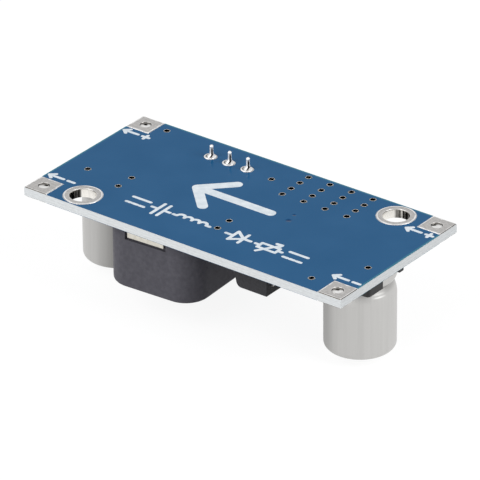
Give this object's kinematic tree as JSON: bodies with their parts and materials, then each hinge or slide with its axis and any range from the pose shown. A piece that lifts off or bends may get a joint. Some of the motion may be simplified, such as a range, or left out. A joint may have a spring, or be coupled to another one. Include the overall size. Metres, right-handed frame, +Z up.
{
  "type": "buck converter module",
  "caption": "Small blue step-down converter board, solder side up, with its choke, cans, regulator, diode and trimmer hanging below.",
  "frame": {"origin": "under the middle of the board, on the surface that the module stands on, solder side up", "axes": "+X along the board to its input end, +Y across the board to the edge with the positive pads, +Z up, out of the solder side"},
  "size_m": [0.0432, 0.0212, 0.0141],
  "materials": {
    "laminate": "pale glass-fibre laminate",
    "solder_mask": "satin blue film",
    "tinned_copper": "tinned, satin",
    "legend_ink": "white printed ink",
    "solder": "bright tin solder",
    "can_aluminium": "drawn, satin",
    "base_plastic": "black moulding",
    "marking_ink": "black printed ink",
    "ferrite": "dark sintered ferrite, satin",
    "copper_wire": "enamelled copper",
    "glue": "cured resin",
    "clip_metal": "tinned strip",
    "moulding": "black epoxy moulding",
    "tab_metal": "tinned copper plate",
    "trimmer_plastic": "blue moulding",
    "trimmer_resin": "cream resin",
    "screw_brass": "turned brass",
    "seal_rubber": "soft silicone",
    "resistor_body": "black glazed ceramic",
    "capacitor_body": "tan ceramic"
  },
  "bodies": {
    "module": {"board_laminate": "laminate", "solder_side_mask": "solder_mask", "component_side_mask": "solder_mask", "corner_pads": "tinned_copper", "mounting_rings": "tinned_copper", "via_barrels": "tinned_copper", "trimmer_pads": "tinned_copper", "component_lands": "tinned_copper", "solder_side_legend": "legend_ink", "component_side_legend": "legend_ink", "corner_pad_solder": "solder", "trimmer_pin_solder": "solder", "surface_solder": "solder", "input_can": "can_aluminium", "input_can_base": "base_plastic", "input_can_terminals": "tinned_copper", "output_can": "can_aluminium", "output_can_base": "base_plastic", "output_can_terminals": "tinned_copper", "can_ink_marks": "marking_ink", "choke_shield": "ferrite", "choke_core": "ferrite", "choke_winding": "copper_wire", "choke_glue": "glue", "choke_clips": "clip_metal", "diode_body": "moulding", "diode_leads": "tinned_copper", "regulator_body": "moulding", "regulator_tab": "tab_metal", "regulator_leads": "tinned_copper", "trimmer_housing": "trimmer_plastic", "trimmer_plate": "trimmer_resin", "trimmer_pins": "tinned_copper", "screw_seal": "seal_rubber", "chip_resistor": "resistor_body", "chip_resistor_ends": "tinned_copper", "chip_capacitor": "capacitor_body", "chip_capacitor_ends": "tinned_copper"},
    "adjusting_screw": {"adjusting_screw": "screw_brass"}
  },
  "joints": [
    {"name": "adjusting_screw_turn", "type": "hinge", "parent": "module", "child": "adjusting_screw", "pos_m": [-0.00341, 0.00838, 0], "axis": [0, 0, 1], "continuous": true}
  ]
}
